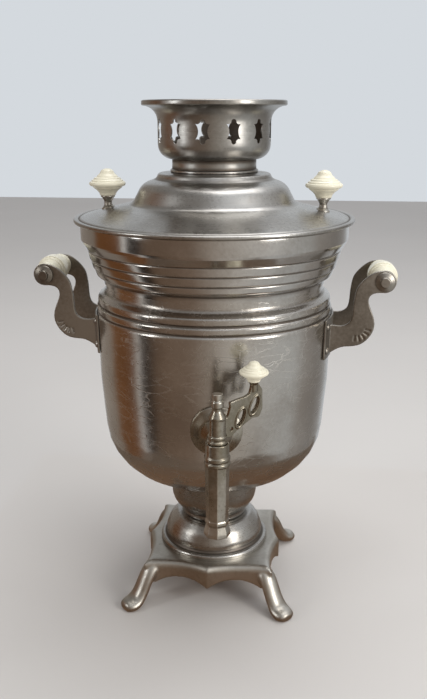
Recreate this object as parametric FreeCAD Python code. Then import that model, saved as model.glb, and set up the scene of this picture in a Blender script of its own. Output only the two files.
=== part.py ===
import FreeCAD
import Part
import math
import os

# A small electric samovar. Units are millimetres, +Z is up, the floor is z = 0.
# The front, with the tap, faces -Y, and the handles stand at -X and +X.

V = FreeCAD.Vector
UP = V(0, 0, 1)

# Sheet walls and fits
sheet = 1.0
lap_gap = 0.05
seat_gap = 0.05
running_gap = 0.04
lift_gap = 0.6

# Foot casting
plate_half = 50.8
plate_top = 36.2
plate_wall = 3.0
skirt_drop = 18.4
skirt_cusp = 4.0
skirt_scoop = 1.6
edge_round = 4.8
arch_span = 40.0
arch_rise = 6.0
toe_reach = 64.5
leg_width = 15.0
leg_depth = 10.0
leg_inset = 8.8
leg_drop = 6.7

# Pedestal and drum
pedestal_radius = 44.1
pedestal_step = 3.9
pedestal_crease_radius = 39.5
pedestal_height = 24.4
waist_radius = 26.5
drum_radius = 34.4
drum_foot_radius = 28.2
drum_height = 33.2
waist_height = 5.4

# Vessel
belly_radius = 89.2
bowl_corner_radius = 82.3
bowl_round = 47.0
wall_height = 136.0
shoulder_height = 18.5
mouth_radius = 82.3
bead_out = 0.9
mouth_lap = 6.0

# Collar ring that carries the lid
collar_radius = 99.7
collar_height = 45.0
collar_lap = 1.2
collar_lip = 4.4

# Lid
lid_radius = 104.0
lid_rise = 12.0
lid_hem = 8.0
dome_foot_radius = 58.4
dome_step_radius = 42.8
dome_top_radius = 41.0
dome_rise = 18.0
dome_step_rise = 5.2
spigot_radius = 28.6
spigot_height = 8.0
skirt_radius = 93.6
skirt_depth = 8.0
steam_holes = 6
steam_hole_radius = 2.5
steam_ring_radius = 16.0

# Crown
crown_neck_radius = 30.8
crown_wall_radius = 41.1
crown_rim_radius = 52.5
crown_height = 49.75
crown_neck_height = 9.0
crown_rim_height = 3.8
crown_foot_radius = 32.2
cutouts = 12
cutout_height = 16.8
cutout_width = 10.6
cutout_waist = 7.2
cutout_lobe = 2.2
cutout_level = 28.7
cutout_turn = 25.0

# Lid posts and knobs
post_inset = 13.1
post_height = 10.6
post_foot_radius = 5.2
post_waist_radius = 3.7
post_top_radius = 5.4
knob_radius = 13.8
knob_height = 19.6
knob_screw_radius = 2.0
post_nut_radius = 4.0
post_nut_height = 2.4

# Handles
grip_reach = 126.2
grip_level = 259.6
grip_length = 42.0
grip_end_radius = 8.6
grip_bulge_radius = 11.0
cheek_thickness = 2.2
scroll_radius = 8.2
rod_radius = 2.6
cap_radius = 7.2
cap_height = 4.2
saddle_thickness = 1.6
saddle_flange = 9.0
handle_root_level = 202.0
handle_root_height = 30.0
flutes = 5
flute_depth = 0.5
flute_radius = 1.3
flute_turn = 22.0
rivet_radius = 1.6
rivet_head_radius = 3.2
rivet_inset = 6.0

# Tap
tap_swing = 7.0
tap_reach = 124.0
tap_level = 166.0
rosette_radius = 18.2
rosette_height = 4.6
shank_radius = 6.4
shank_bore = 3.2
barrel_radius = 7.8
barrel_bottom = 157.6
barrel_top = 172.6
plug_top_radius = 5.6
plug_taper = 0.6
plug_bore = 3.0
plug_floor = 3.0
plug_head_radius = 5.5
spout_across = 14.4
spout_tip_across = 16.6
spout_tip_level = 106.8
spout_ring_rise = 10.0
spout_ring_height = 2.0
spout_bore = 4.0
flange_radius = 8.6
finial_top = 206.0
tap_nut_across = 20.0
tap_nut_height = 5.0
tap_thread_radius = 7.0
tap_washer_height = 2.0

# Tap key wing
knob_clearance = 10.6
wing_side = 24.0
wing_thickness = 2.6
wing_reach = 28.0
wing_base_level = 175.0
wing_rise = 34.5
wing_stem = 2.6
loop_length = 13.0
loop_width = 5.8
loop_tilt = 24.0
tap_knob_radius = 9.8
tap_knob_height = 13.5

# Heater and its inlet, at the back
inlet_level = 146.0
element_radius = 3.6
element_ring_radius = 52.0
element_drop = 34.0
element_bend = 12.0
element_socket = 3.0
inlet_head_radius = 16.5
inlet_head_height = 5.0
inlet_gasket_height = 1.0
inlet_thread_radius = 13.5
inlet_tail = 8.0
shroud_radius = 18.5
shroud_wall = 1.2
shroud_length = 33.0
insulator_height = 5.0
pin_radius = 3.0
pin_neck_radius = 2.5
pin_neck = 0.5
pin_length = 22.0
pin_spacing = 19.0

# Stud that holds the foot, pedestal and drum against the vessel
stud_radius = 4.0
stud_head_radius = 20.0
stud_head_height = 2.0
bridge_width = 16.0
bridge_thickness = 3.0
nut_across = 13.0
nut_height = 6.0

# Levels and radii that follow from the sizes above
pedestal_top = plate_top + pedestal_height
drum_bottom = pedestal_top + waist_height
drum_top = drum_bottom + drum_height
bowl_level = drum_top + seat_gap
wall_top = bowl_level + wall_height
shoulder_top = wall_top + shoulder_height
collar_bottom = shoulder_top + collar_lap
collar_top = collar_bottom + collar_height
lid_seat = collar_top + seat_gap
dome_foot_level = lid_seat + lid_rise
dome_step_level = dome_foot_level + dome_rise
lid_top = dome_step_level + dome_step_rise
crown_seat = lid_top + seat_gap
rim_top = crown_seat + crown_height
plug_axis = V(0, -tap_reach, 0)
post_ring_radius = skirt_radius - post_inset
wing_room = tap_reach - belly_radius - tap_knob_radius - knob_clearance
wing_turn = math.degrees(math.atan2(wing_room, wing_side))


def corner_path(points):
    """Turn (x, z) or (x, z, radius) corners into joined lines and tangent arcs."""
    corners = [V(p[0], 0, p[1]) for p in points]
    radii = [p[2] if len(p) > 2 else 0.0 for p in points]
    edges = []
    start = corners[0]
    for before, here, after, radius in zip(corners, corners[1:], corners[2:], radii[1:]):
        back = (before - here).normalize()
        ahead = (after - here).normalize()
        half = back.getAngle(ahead) / 2
        if radius <= 0 or half > math.radians(89.5):
            edges.append(Part.makeLine(start, here))
            start = here
            continue
        room = 0.98 * min((start - here).Length, (after - here).Length)
        reach = min(radius / math.tan(half), room)
        radius = reach * math.tan(half)
        into = here + back * reach
        out = here + ahead * reach
        middle_way = (back + ahead).normalize()
        middle = here + middle_way * (radius / math.sin(half) - radius)
        if (into - start).Length > 1e-6:
            edges.append(Part.makeLine(start, into))
        edges.append(Part.Arc(into, middle, out).toShape())
        start = out
    if (corners[-1] - start).Length > 1e-6:
        edges.append(Part.makeLine(start, corners[-1]))
    return edges


def inner_points(points, wall):
    """Mitre a corner list inward by a wall, to the left of its direction, with its radii to suit."""
    flat = [V(p[0], 0, p[1]) for p in points]
    normals = []
    for a, b in zip(flat, flat[1:]):
        along = (b - a).normalize()
        normals.append(V(-along.z, 0, along.x))
    result = []
    for i, p in enumerate(points):
        before = normals[max(i - 1, 0)]
        after = normals[min(i, len(normals) - 1)]
        shift = (before + after) * (wall / (1 + before.dot(after)))
        q = flat[i] + shift
        radius = p[2] if len(p) > 2 else 0.0
        turn = before.cross(after).y
        if radius > 0:
            radius = radius - wall if turn < 0 else radius + wall
        result.append((q.x, q.z, max(radius, 0.0)))
    return result


def closed_face(edges):
    """Close a run of edges with a straight one and fill it."""
    first = edges[0].Vertexes[0].Point
    last = edges[-1].Vertexes[-1].Point
    if (first - last).Length > 1e-6:
        edges = edges + [Part.makeLine(last, first)]
    return Part.Face(Part.Wire(Part.__sortEdges__(edges)))


def turned(points):
    """Revolve a closed outline of (radius, z) corners about the Z axis."""
    return closed_face(corner_path(points)).revolve(V(0, 0, 0), UP, 360)


def spun(points, wall):
    """Revolve an open profile as sheet of a given wall; the inside is on the left of its run."""
    outside = corner_path(points)
    inside = corner_path(inner_points(points, wall))
    a, b = outside[0].Vertexes[0].Point, outside[-1].Vertexes[-1].Point
    c, d = inside[0].Vertexes[0].Point, inside[-1].Vertexes[-1].Point
    edges = outside + inside
    for p, q in ((a, c), (b, d)):
        if (p - q).Length > 1e-6:
            edges.append(Part.makeLine(p, q))
    face = Part.Face(Part.Wire(Part.__sortEdges__(edges)))
    return face.revolve(V(0, 0, 0), UP, 360)


def slab(points, thickness, level=0.0):
    """Extrude a closed outline in the XZ plane along +Y from a level."""
    loop = points + [points[0]]
    face = closed_face(corner_path(loop))
    solid = face.extrude(V(0, thickness, 0))
    solid.translate(V(0, level, 0))
    return solid


def rod(radius, start, end):
    """A round bar from one point to another."""
    way = end - start
    return Part.makeCylinder(radius, way.Length, start, way)


def hexagon(across, height, base, way=UP):
    """A hexagonal prism of a size across flats."""
    corner = across / math.sqrt(3)
    points = [V(corner * math.cos(math.radians(a)), corner * math.sin(math.radians(a)), 0)
              for a in range(0, 361, 60)]
    solid = Part.Face(Part.makePolygon(points)).extrude(UP * height)
    solid.Placement = FreeCAD.Placement(base, FreeCAD.Rotation(UP, way))
    return solid


def spin(shape, degrees, centre=V(0, 0, 0)):
    """A copy of a shape turned about a vertical axis."""
    copy = shape.copy()
    copy.rotate(centre, UP, degrees)
    return copy


def mirrored(shape):
    """A copy mirrored from the right side to the left."""
    return shape.mirror(V(0, 0, 0), V(1, 0, 0))


def lying(shape, way, base):
    """Lay a solid made along +Z along another direction, from a base point."""
    copy = shape.copy()
    copy.Placement = FreeCAD.Placement(base, FreeCAD.Rotation(UP, way)).multiply(copy.Placement)
    return copy


# Foot casting: bracket-sided square plate, hollow below, with four splayed legs
def bracket_outline(inset, level):
    """The plate's outline in plan: each side has two scoops that meet in a cusp."""
    half = plate_half - inset
    cusp = half + skirt_cusp
    scoop = half - skirt_scoop
    edges = []
    for turn in range(4):
        corner = V(-half, -half, level)
        first = V(-half / 2, -scoop, level)
        point = V(0, -cusp, level)
        second = V(half / 2, -scoop, level)
        end = V(half, -half, level)
        for a, b, c in ((corner, first, point), (point, second, end)):
            edges.append(spin(Part.Arc(a, b, c).toShape(), 90 * turn))
    return Part.Wire(Part.__sortEdges__(edges))


def leg():
    """One splayed leg: oval sections along a path that goes down from the plate's corner and out to a rounded toe."""
    start = plate_half - leg_inset
    top = plate_top - leg_drop
    stations = [(0.0, 1.0, 0.94, 1.2), (0.26, 0.83, 0.97, 1.05), (0.42, 0.53, 1.0, 0.96), (0.57, 0.28, 1.06, 0.98),
                (0.75, 0.14, 1.15, 1.0), (0.92, 0.115, 0.98, 0.86), (1.0, 0.1, 0.5, 0.45)]
    centres = [V((start + share * (toe_reach - start)) * math.sqrt(2), 0, high * top) for share, high, _, _ in stations]
    wires = []
    for i, (_, _, wide, deep) in enumerate(stations):
        way = (centres[min(i + 1, len(centres) - 1)] - centres[max(i - 1, 0)]).normalize()
        oval = Part.Ellipse(V(0, 0, 0), leg_width / 2 * wide, leg_depth / 2 * deep).toShape()
        wire = Part.Wire([oval])
        side = V(0, 1, 0)
        wire.Placement = FreeCAD.Placement(centres[i], FreeCAD.Rotation(side, way.cross(side), way, "ZXY"))
        wires.append(wire)
    limb = Part.makeLoft(wires, True)
    below = Part.makeBox(4 * toe_reach, 4 * toe_reach, leg_depth, V(-2 * toe_reach, -2 * toe_reach, -leg_depth))
    return spin(limb.cut(below), 45)


def skirt_arch(side):
    """A round bar that cuts one of the two arches out of the front skirt."""
    radius = (arch_span ** 2 / 4 + arch_rise ** 2) / (2 * arch_rise)
    crest = plate_top - skirt_drop + arch_rise
    start = V(side * (arch_span / 2 + sheet), -2 * plate_half, crest - radius)
    return Part.makeCylinder(radius, 2 * plate_half - leg_width, start, V(0, 1, 0))


def foot_casting():
    block = Part.Face(bracket_outline(0, plate_top - skirt_drop)).extrude(UP * skirt_drop)
    top_edges = [e for e in block.Edges if e.BoundBox.ZMin > plate_top - 0.01]
    block = block.makeFillet(edge_round, top_edges)
    for turn in range(4):
        for side in (-1, 1):
            block = block.cut(spin(skirt_arch(side), 90 * turn))
    for turn in range(4):
        block = block.fuse(spin(leg(), 90 * turn))
    hollow = Part.Face(bracket_outline(plate_wall, 0)).extrude(UP * (plate_top - plate_wall))
    corner = plate_half - plate_wall
    post = Part.makeCylinder(leg_width / 2 + 1.0, plate_top, V(corner, corner, 0))
    for turn in range(4):
        hollow = hollow.cut(spin(post, 90 * turn))
    bore = Part.makeCylinder(stud_radius + lift_gap, plate_top + 1)
    return block.cut(hollow).cut(bore).removeSplitter()


# Pedestal: a stepped dome on the plate
def pedestal():
    base = plate_top + seat_gap
    crease = pedestal_crease_radius
    profile = [(pedestal_radius, base), (pedestal_radius, base + pedestal_step, 2.6),
               (crease, base + pedestal_step + 0.5), (crease, base + 0.42 * pedestal_height, 9.0),
               (0.92 * crease, base + 0.74 * pedestal_height, 14.0), (waist_radius + 4.0, pedestal_top, 5.0),
               (stud_radius + lift_gap, pedestal_top)]
    return spun(profile, sheet)


# Drum: a bowl-shaped neck between pedestal and vessel
def neck_drum():
    base = pedestal_top + seat_gap
    profile = [(stud_radius + lift_gap, base), (waist_radius, base, 1.6), (waist_radius, drum_bottom, 1.2),
               (drum_foot_radius, drum_bottom + 0.4, 1.0), (drum_radius, drum_bottom + 9.0, 16.0),
               (drum_radius, drum_top - 5.0), (drum_radius + 1.1, drum_top - 4.0, 1.2),
               (drum_radius + 1.1, drum_top - 1.0, 1.2), (drum_radius - 1.0, drum_top),
               (drum_radius - 6.0, drum_top)]
    return spun(profile, sheet)


# Vessel: bowl bottom, tapered wall, two beads, narrow mouth
def vessel_profile():
    bead = belly_radius - 0.6
    return [(0, bowl_level), (drum_radius, bowl_level, 4.0), (bowl_corner_radius, bowl_level + 1.0, bowl_round),
            (belly_radius - 0.5, bowl_level + 0.6 * wall_height, 240.0), (belly_radius + 0.5, wall_top, 5.0),
            (bead - 0.2, wall_top + 3.4), (bead + bead_out - 0.2, wall_top + 4.8),
            (bead + bead_out - 1.0, wall_top + 8.0, 1.0), (bead - 1.6, wall_top + 9.6),
            (bead - 0.6, wall_top + 11.0, 1.0), (bead - 2.2, wall_top + 15.6, 2.4),
            (mouth_radius, shoulder_top, 1.6), (mouth_radius, shoulder_top + mouth_lap)]


def vessel():
    shell = spun(vessel_profile(), sheet)
    tap_hole = spin(rod(tap_thread_radius + lap_gap, V(0, -belly_radius + 12, tap_level),
                        V(0, -belly_radius - 12, tap_level)), tap_swing)
    inlet_hole = rod(inlet_thread_radius + lap_gap, V(0, belly_radius - 20, inlet_level),
                     V(0, belly_radius + 12, inlet_level))
    return shell.cut(tap_hole).cut(inlet_hole)


# Collar ring: three ribs, a flare and an upright band with a turned-in lip
def collar_ring():
    base = collar_bottom
    inside = mouth_radius + lap_gap + sheet
    profile = [(inside, base), (inside, base + 2.4, 1.2), (inside + 5.2, base + 5.4, 2.4),
               (inside + 6.3, base + 9.8, 1.4), (inside + 5.9, base + 11.6),
               (inside + 8.0, base + 13.0, 1.6), (inside + 9.1, base + 17.2, 1.4), (inside + 8.7, base + 19.0),
               (inside + 10.4, base + 20.4, 1.6), (inside + 11.5, base + 24.8, 1.6),
               (inside + 11.5, base + 27.0, 1.2), (collar_radius - 1.0, base + 30.0, 1.2),
               (collar_radius, base + 32.0, 1.0), (collar_radius, collar_top, 1.4),
               (collar_radius - collar_lip, collar_top)]
    return spun(profile, sheet)


# Lid: rolled rim, sloping plate, stepped dome and a spigot for the crown
def lid():
    profile = [(lid_radius - lid_hem, lid_seat), (lid_radius, lid_seat, 1.1), (lid_radius, lid_seat + 2.2, 1.1),
               (lid_radius - 6.0, lid_seat + 3.2, 6.0),
               (dome_foot_radius + 4.0, dome_foot_level, 12.0), (dome_foot_radius - 7.2, dome_foot_level + 15.6, 8.0),
               (dome_step_radius, dome_step_level), (dome_top_radius, lid_top - 0.8, 1.6),
               (spigot_radius, lid_top), (spigot_radius, lid_top + spigot_height, 1.6),
               (0, lid_top + spigot_height)]
    shell = spun(profile, sheet)
    for i in range(steam_holes):
        hole = Part.makeCylinder(steam_hole_radius, 4 * sheet, V(steam_ring_radius, 0, lid_top + spigot_height - 3))
        shell = shell.cut(spin(hole, 360 * i / steam_holes))
    for side in (-1, 1):
        hole = Part.makeCylinder(knob_screw_radius + lap_gap, 40, V(side * post_ring_radius, 0, lid_seat - 5))
        shell = shell.cut(hole)
    return shell


def lid_skirt():
    level = plate_under(skirt_radius) - seat_gap
    profile = [(skirt_radius, level - skirt_depth), (skirt_radius, level)]
    return spun(profile, sheet)


def plate_under(radius):
    """Level of the lid plate's underside at a radius."""
    run = (lid_radius - 6.0) - (dome_foot_radius + 4.0)
    rise = dome_foot_level - (lid_seat + 3.2)
    slope = rise / run
    top = lid_seat + 3.2 + slope * (lid_radius - 6.0 - radius)
    return top - sheet * math.sqrt(1 + slope * slope)


def plate_over(radius):
    """Level of the lid plate's top at a radius."""
    run = (lid_radius - 6.0) - (dome_foot_radius + 4.0)
    rise = dome_foot_level - (lid_seat + 3.2)
    return lid_seat + 3.2 + rise / run * (lid_radius - 6.0 - radius)


# Posts, knobs and nuts on the lid
def post_profile(base):
    return [(0, base), (post_foot_radius, base), (post_waist_radius, base + 0.45 * post_height, 5.0),
            (post_top_radius, base + post_height - 1.0), (post_top_radius, base + post_height),
            (0, base + post_height)]


def post_base():
    """Level of a post's foot, which is sunk to the lowest point of the plate under it."""
    return plate_over(post_ring_radius + post_foot_radius)


def lid_post(side):
    """Waisted post: its foot follows the plate, its screw runs down through the plate and up into the knob."""
    body = turned(post_profile(post_base()))
    body.translate(V(side * post_ring_radius, 0, 0))
    body = body.cut(lid_cutter())
    low = plate_under(post_ring_radius) - post_nut_height - 2.0
    high = post_base() + post_height + 0.6 * knob_height
    screw = rod(knob_screw_radius, V(side * post_ring_radius, 0, low), V(side * post_ring_radius, 0, high))
    return body.fuse(screw).removeSplitter()


def lid_cutter():
    """The space filled by the lid plate, down to well below it."""
    outer = lid_radius - 6.0
    inner = dome_foot_radius + 4.0
    points = [(inner, plate_over(inner) + seat_gap), (outer, plate_over(outer) + seat_gap), (outer, lid_seat - 20),
              (inner, lid_seat - 20), (inner, plate_over(inner) + seat_gap)]
    return turned(points)


def knob_profile(base, radius, height):
    """Stepped rings above and below a sharp middle, as turned ivory-like plastic."""
    steps = [(0.45, 0.0), (0.62, 0.07), (0.66, 0.15), (0.76, 0.17), (0.82, 0.27), (0.92, 0.30), (1.0, 0.39),
             (0.99, 0.47), (0.86, 0.54), (0.82, 0.57), (0.68, 0.66), (0.62, 0.70), (0.48, 0.80), (0.40, 0.86)]
    points = [(0, base)]
    for wide, high in steps:
        points.append((radius * wide, base + height * high))
    points.append((0.30 * radius, base + height, 0.1 * radius))
    points.append((0, base + height))
    points.append((0, base))
    return points


def lid_knob(side):
    base = post_base() + post_height + seat_gap
    knob = turned(knob_profile(base, knob_radius, knob_height))
    hole_top = post_base() + post_height + 0.6 * knob_height + lap_gap
    knob = knob.cut(rod(knob_screw_radius + lap_gap, V(0, 0, base - 1), V(0, 0, hole_top)))
    knob.translate(V(side * post_ring_radius, 0, 0))
    return knob


def lid_nut(side):
    under = plate_under(post_ring_radius + post_nut_radius) - seat_gap
    nut = hexagon(2 * post_nut_radius * 0.866, post_nut_height, V(side * post_ring_radius, 0, under - post_nut_height))
    return nut.cut(Part.makeCylinder(knob_screw_radius + lap_gap, 40, V(side * post_ring_radius, 0, under - 20)))


# Crown: pierced ring with a rolled rim
def cutout_shape():
    """One pierced figure: concave sides, eared corners and a round lobe above and below."""
    half_wide = cutout_width / 2
    half_waist = cutout_waist / 2
    ear = cutout_height / 2 - 2.6
    lobe = cutout_lobe
    lobe_foot = cutout_height / 2 - 2.3
    right = [Part.Arc(V(half_wide, 0, -ear), V(half_waist, 0, 0), V(half_wide, 0, ear)).toShape()]
    for up in (-1, 1):
        tip = V(half_wide, 0, up * ear)
        foot = V(lobe, 0, up * lobe_foot)
        dip = V((half_wide + lobe) / 2, 0, up * (ear - 0.7))
        right.append(Part.Arc(tip, dip, foot).toShape())
    left = []
    for edge in right:
        left.append(edge.mirror(V(0, 0, 0), V(1, 0, 0)))
    caps = []
    for up in (-1, 1):
        a, b = V(lobe, 0, up * lobe_foot), V(-lobe, 0, up * lobe_foot)
        caps.append(Part.Arc(a, V(0, 0, up * cutout_height / 2), b).toShape())
    face = Part.Face(Part.Wire(Part.__sortEdges__(right + left + caps)))
    tool = face.extrude(V(0, -20, 0))
    tool.translate(V(0, -crown_wall_radius + 8, crown_seat + cutout_level))
    return tool


def crown():
    base = crown_seat
    rim_low = rim_top - crown_rim_height
    profile = [(crown_foot_radius, base), (crown_foot_radius, base + 1.2),
               (crown_neck_radius, base + 1.8), (crown_neck_radius, base + crown_neck_height, 0.9),
               (crown_wall_radius, base + crown_neck_height + 1.6, 8.6), (crown_wall_radius, rim_low - 0.6, 9.6),
               (crown_rim_radius, rim_low, 0.9), (crown_rim_radius, rim_top, 1.0), (crown_rim_radius - 3.0, rim_top)]
    shell = spun(profile, sheet)
    tool = cutout_shape()
    for i in range(cutouts):
        shell = shell.cut(spin(tool, cutout_turn + 360 * i / cutouts))
    return shell


# Handles: each has two S-shaped cheeks on a curved saddle
def wall_radius(level):
    """Outside radius of the vessel at a level, read off its profile."""
    ray = Part.makeLine(V(bowl_corner_radius / 2, 0, level), V(2 * belly_radius, 0, level))
    hits = []
    for edge in corner_path(vessel_profile()):
        distance, points, _ = ray.distToShape(edge)
        if distance < 1e-6:
            hits += [pair[0].x for pair in points]
    return max(hits)


def cheek_point(across, up):
    """A point of the cheek: shares of the way from the wall to the grip, and from the root to the grip."""
    return V(belly_radius + across * (grip_reach - belly_radius), 0,
             handle_root_level + up * (grip_level - handle_root_level))


def cheek_face():
    """The S of a cheek: a smooth outer and inner line, joined round the scroll and at the root."""
    outer = [(-0.135, 0.0), (0.02, 0.07), (0.22, 0.137), (0.468, 0.156), (0.632, 0.198), (0.757, 0.281),
             (0.832, 0.382), (0.841, 0.469), (0.795, 0.583), (0.724, 0.694), (0.705, 0.767), (0.741, 0.821),
             (0.83, 0.851)]
    inner = [(0.819, 1.122), (0.678, 1.068), (0.554, 0.991), (0.473, 0.913), (0.438, 0.825), (0.416, 0.712),
             (0.397, 0.547), (0.362, 0.479), (0.276, 0.434), (0.157, 0.42), (-0.135, 0.437)]
    centre = V(grip_reach, 0, grip_level)
    down = centre - UP * scroll_radius
    back = centre + V(-0.32, 0, 0.947) * scroll_radius
    lines = []
    for points in ([cheek_point(*p) for p in outer] + [down], [back] + [cheek_point(*p) for p in inner]):
        curve = Part.BSplineCurve()
        curve.interpolate(points)
        lines.append(curve.toShape())
    scroll = Part.Arc(down, centre + V(scroll_radius, 0, 0), back).toShape()
    root = Part.makeLine(cheek_point(*inner[-1]), cheek_point(*outer[0]))
    return Part.Face(Part.Wire(Part.__sortEdges__(lines + [scroll, root])))


def cheek():
    """The cheek at +Y, with short flutes fanned over its belly."""
    near = grip_length / 2 + seat_gap
    plate = cheek_face().extrude(V(0, cheek_thickness, 0))
    plate.translate(V(0, near, 0))
    fan = cheek_point(0.495, 0.4)
    for i in range(flutes):
        angle = math.radians(-flute_turn / 2 - flute_turn * i)
        reach = V(math.cos(angle), 0, math.sin(angle))
        groove = rod(flute_radius, fan + reach * 0.7 * scroll_radius, fan + reach * 1.3 * scroll_radius)
        groove.translate(V(0, near + cheek_thickness + flute_radius - flute_depth, 0))
        plate = plate.cut(groove)
    return plate


def handle_frame():
    """Right-hand frame: saddle that follows the wall, and two cheeks that stand on it."""
    low, high = handle_root_level, handle_root_level + handle_root_height
    reach = grip_length / 2 + cheek_thickness + saddle_flange
    body = wall_cutter(seat_gap)
    skin = wall_cutter(seat_gap + saddle_thickness)
    block = Part.makeBox(0.5 * belly_radius, 2 * reach, high - low, V(0.75 * belly_radius, -reach, low))
    saddle = skin.cut(body).common(block)
    first = cheek()
    second = first.mirror(V(0, 0, 0), V(0, 1, 0))
    frame = saddle.fuse([first.cut(body), second.cut(body)])
    bore = rod(rod_radius + lap_gap, V(grip_reach, -grip_length, grip_level), V(grip_reach, grip_length, grip_level))
    frame = frame.cut(bore)
    for hole in rivet_axes():
        frame = frame.cut(rod(rivet_radius + lap_gap, hole[0], hole[1]))
    return frame.removeSplitter()


def wall_cutter(out):
    """The vessel filled solid, with its radius grown by a clearance."""
    points = [(p[0] + (out if p[0] > 0 else 0),) + tuple(p[1:]) for p in vessel_profile()]
    return turned(points + [(0, shoulder_top + mouth_lap), (0, bowl_level)])


def rivet_axes():
    """Start and end points of the radial rivets of the right-hand saddle."""
    axes = []
    across = grip_length / 2 + cheek_thickness + saddle_flange / 2
    for side in (-1, 1):
        for level in (handle_root_level + rivet_inset, handle_root_level + handle_root_height - rivet_inset):
            angle = side * math.asin(across / belly_radius)
            way = V(math.cos(angle), math.sin(angle), 0)
            axes.append((way * 0.94 * belly_radius + UP * level, way * 1.06 * belly_radius + UP * level))
    return axes


def handle_rivets():
    solids = []
    for start, end in rivet_axes():
        way = (end - start).normalize()
        face = way * (wall_radius(start.z) + seat_gap + saddle_thickness) + UP * start.z
        foot = face - way * saddle_thickness
        lift = 0.04 * rivet_head_radius
        shank = rod(rivet_radius, foot, face + way * 2 * lift)
        head = Part.makeSphere(rivet_head_radius, face - way * 0.44 * rivet_head_radius)
        keep = Part.makeCylinder(rivet_head_radius, rivet_head_radius, face + way * lift, way)
        solids.append(shank.fuse(head.common(keep)))
    return solids


def grip():
    half = grip_length / 2
    end = grip_end_radius
    bulge = grip_bulge_radius
    side = [(0.96, end), (0.62, end - 0.7), (0.40, end + 0.3), (0.36, end + 1.1), (0.22, bulge - 0.7),
            (0.18, bulge)]
    points = [(rod_radius + lap_gap, -half), (end - 0.8, -half)]
    for share, radius in side:
        points.append((radius, -share * half))
    for share, radius in reversed(side):
        points.append((radius, share * half))
    points += [(end - 0.8, half), (rod_radius + lap_gap, half), (rod_radius + lap_gap, -half)]
    return lying(turned(points), V(0, 1, 0), V(grip_reach, 0, grip_level))


def grip_rod():
    half = grip_length / 2 + cheek_thickness + 2 * seat_gap
    rim = cap_radius
    side = [(rod_radius, half), (rim, half), (rim, half + 0.3 * cap_height, 0.9), (0.56 * rim, half + 0.66 * cap_height),
            (0.5 * rim, half + cap_height, 0.9), (0, half + cap_height)]
    points = [(0, -half - cap_height)]
    for p in reversed(side[:-1]):
        points.append((p[0], -p[1]) + tuple(p[2:]))
    points += side + [(0, -half - cap_height)]
    return lying(turned(points), V(0, 1, 0), V(grip_reach, 0, grip_level))


# Tap
def tap_rosette():
    face = belly_radius
    points = [(tap_thread_radius + lap_gap, -6.0), (rosette_radius, -6.0), (rosette_radius, 0.8),
              (rosette_radius - 2.4, 2.0, 1.2), (tap_thread_radius + 4.6, rosette_height, 2.0),
              (tap_thread_radius + lap_gap, rosette_height), (tap_thread_radius + lap_gap, -6.0)]
    disc = lying(turned(points), V(0, -1, 0), V(0, -face, tap_level))
    return disc.cut(wall_cutter(seat_gap))


def spout_face(across, level):
    """An eight-sided section of the spout, with one arris at the front."""
    corner = across / 2 / math.cos(math.radians(22.5))
    points = [V(corner * math.sin(math.radians(a)), -tap_reach - corner * math.cos(math.radians(a)), level)
              for a in range(0, 361, 45)]
    return Part.makePolygon(points)


def tap_barrel():
    ring = spout_tip_level + spout_ring_rise
    half = spout_ring_height / 2
    sections = [(barrel_bottom + 0.4, 1.07 * spout_across), (barrel_bottom - 4.0, 1.03 * spout_across),
                (ring + 2 * half, 0.96 * spout_across), (ring + half, 1.04 * spout_across),
                (ring - half, 1.04 * spout_across), (ring - 2 * half, 0.945 * spout_across),
                (spout_tip_level + 2.5, spout_tip_across), (spout_tip_level, spout_tip_across)]
    spout = None
    for (high, wide), (low, narrow) in zip(sections, sections[1:]):
        part = Part.makeLoft([spout_face(wide, high), spout_face(narrow, low)], True, True)
        spout = part if spout is None else spout.fuse(part)
    profile = [(0, barrel_bottom), (flange_radius, barrel_bottom), (flange_radius, barrel_bottom + 2.0),
               (flange_radius - 0.9, barrel_bottom + 2.6), (flange_radius - 0.9, barrel_bottom + 3.2),
               (flange_radius, barrel_bottom + 3.8), (flange_radius, barrel_bottom + 5.8),
               (barrel_radius, barrel_bottom + 6.6), (barrel_radius, barrel_top), (0, barrel_top),
               (0, barrel_bottom)]
    barrel = turned(profile)
    barrel.translate(plug_axis)
    face = belly_radius + rosette_height + seat_gap
    inner = belly_radius - 12.0
    outline = [(0, tap_reach), (shank_radius, tap_reach), (shank_radius, face + 9.0, 4.0),
               (shank_radius + 4.6, face + 2.0, 1.0), (shank_radius + 4.6, face), (tap_thread_radius, face),
               (tap_thread_radius, inner), (0, inner), (0, tap_reach)]
    shank = lying(turned(outline), V(0, -1, 0), V(0, 0, tap_level))
    body = spout.fuse([barrel, shank])
    seat = plug_cone(running_gap)
    water = rod(shank_bore, V(0, -tap_reach, tap_level), V(0, -0.65 * belly_radius, tap_level))
    fall = rod(spout_bore, plug_axis + UP * (spout_tip_level - 1), plug_axis + UP * (barrel_bottom + 4))
    return body.cut(seat).cut(water).cut(fall).removeSplitter()


def plug_cone(gap):
    """The plug's taper, grown all round by a gap."""
    low = barrel_bottom + plug_floor
    bottom = plug_top_radius - plug_taper + gap
    return Part.makeCone(bottom, plug_top_radius + gap, barrel_top - low + 2 * gap, plug_axis + UP * (low - gap))


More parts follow.
